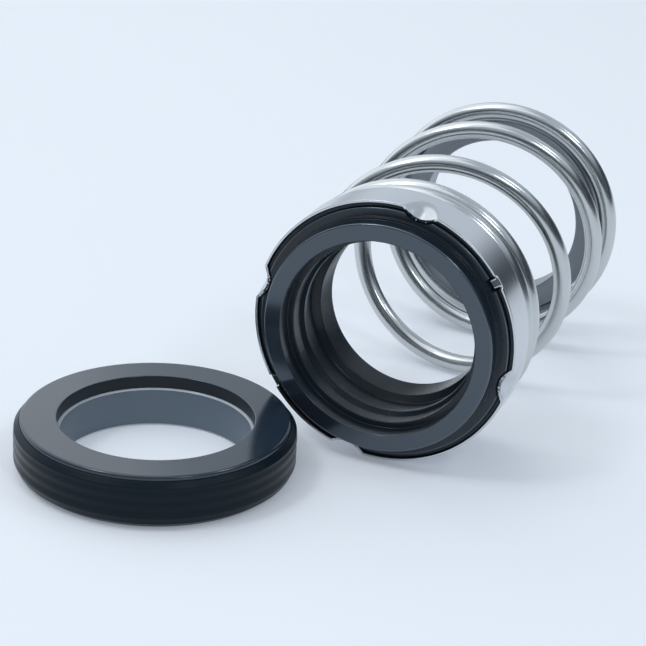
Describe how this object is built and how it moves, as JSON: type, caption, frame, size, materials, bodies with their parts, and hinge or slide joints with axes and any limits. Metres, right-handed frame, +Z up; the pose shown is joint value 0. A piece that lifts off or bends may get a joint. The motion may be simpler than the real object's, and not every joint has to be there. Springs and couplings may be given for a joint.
{
  "type": "mechanical shaft seal",
  "caption": "Rotary shaft seal: face ring in a rubber bellows and dented steel shell with a coil spring, lying beside its flat stationary seat in a rubber cup.",
  "frame": {"origin": "middle of the rubber bellows' shaft bore, on the rotary head's axis", "axes": "+Y along the rotary head's axis from the seal face towards the spring's rear end, +Z up from the floor both pieces lie on, +X to the right"},
  "size_m": [0.0918, 0.1344, 0.054],
  "materials": {
    "carbon": "lapped and satin",
    "black_rubber": "satin moulded rubber",
    "stainless_shell": "drawn sheet, bright",
    "stainless_band": "plain sheet",
    "spring_wire": "bright drawn wire",
    "collar_steel": "plain turned, dull",
    "seat_ceramic": "lapped",
    "cup_rubber": "satin moulded rubber"
  },
  "bodies": {
    "seat_and_spring": {"seat_ring": "seat_ceramic", "seat_cup": "cup_rubber", "spring": "spring_wire", "spring_collar": "collar_steel"},
    "rotary_head": {"seal_ring": "carbon", "bellows": "black_rubber", "shell": "stainless_shell", "drive_band": "stainless_band"}
  },
  "joints": [
    {"name": "head_slide", "type": "slide", "parent": "seat_and_spring", "child": "rotary_head", "axis": [0, 1, 0], "range_m": [0, 0.028], "stiffness_N_per_m": 3000, "deforming": ["spring"]}
  ]
}
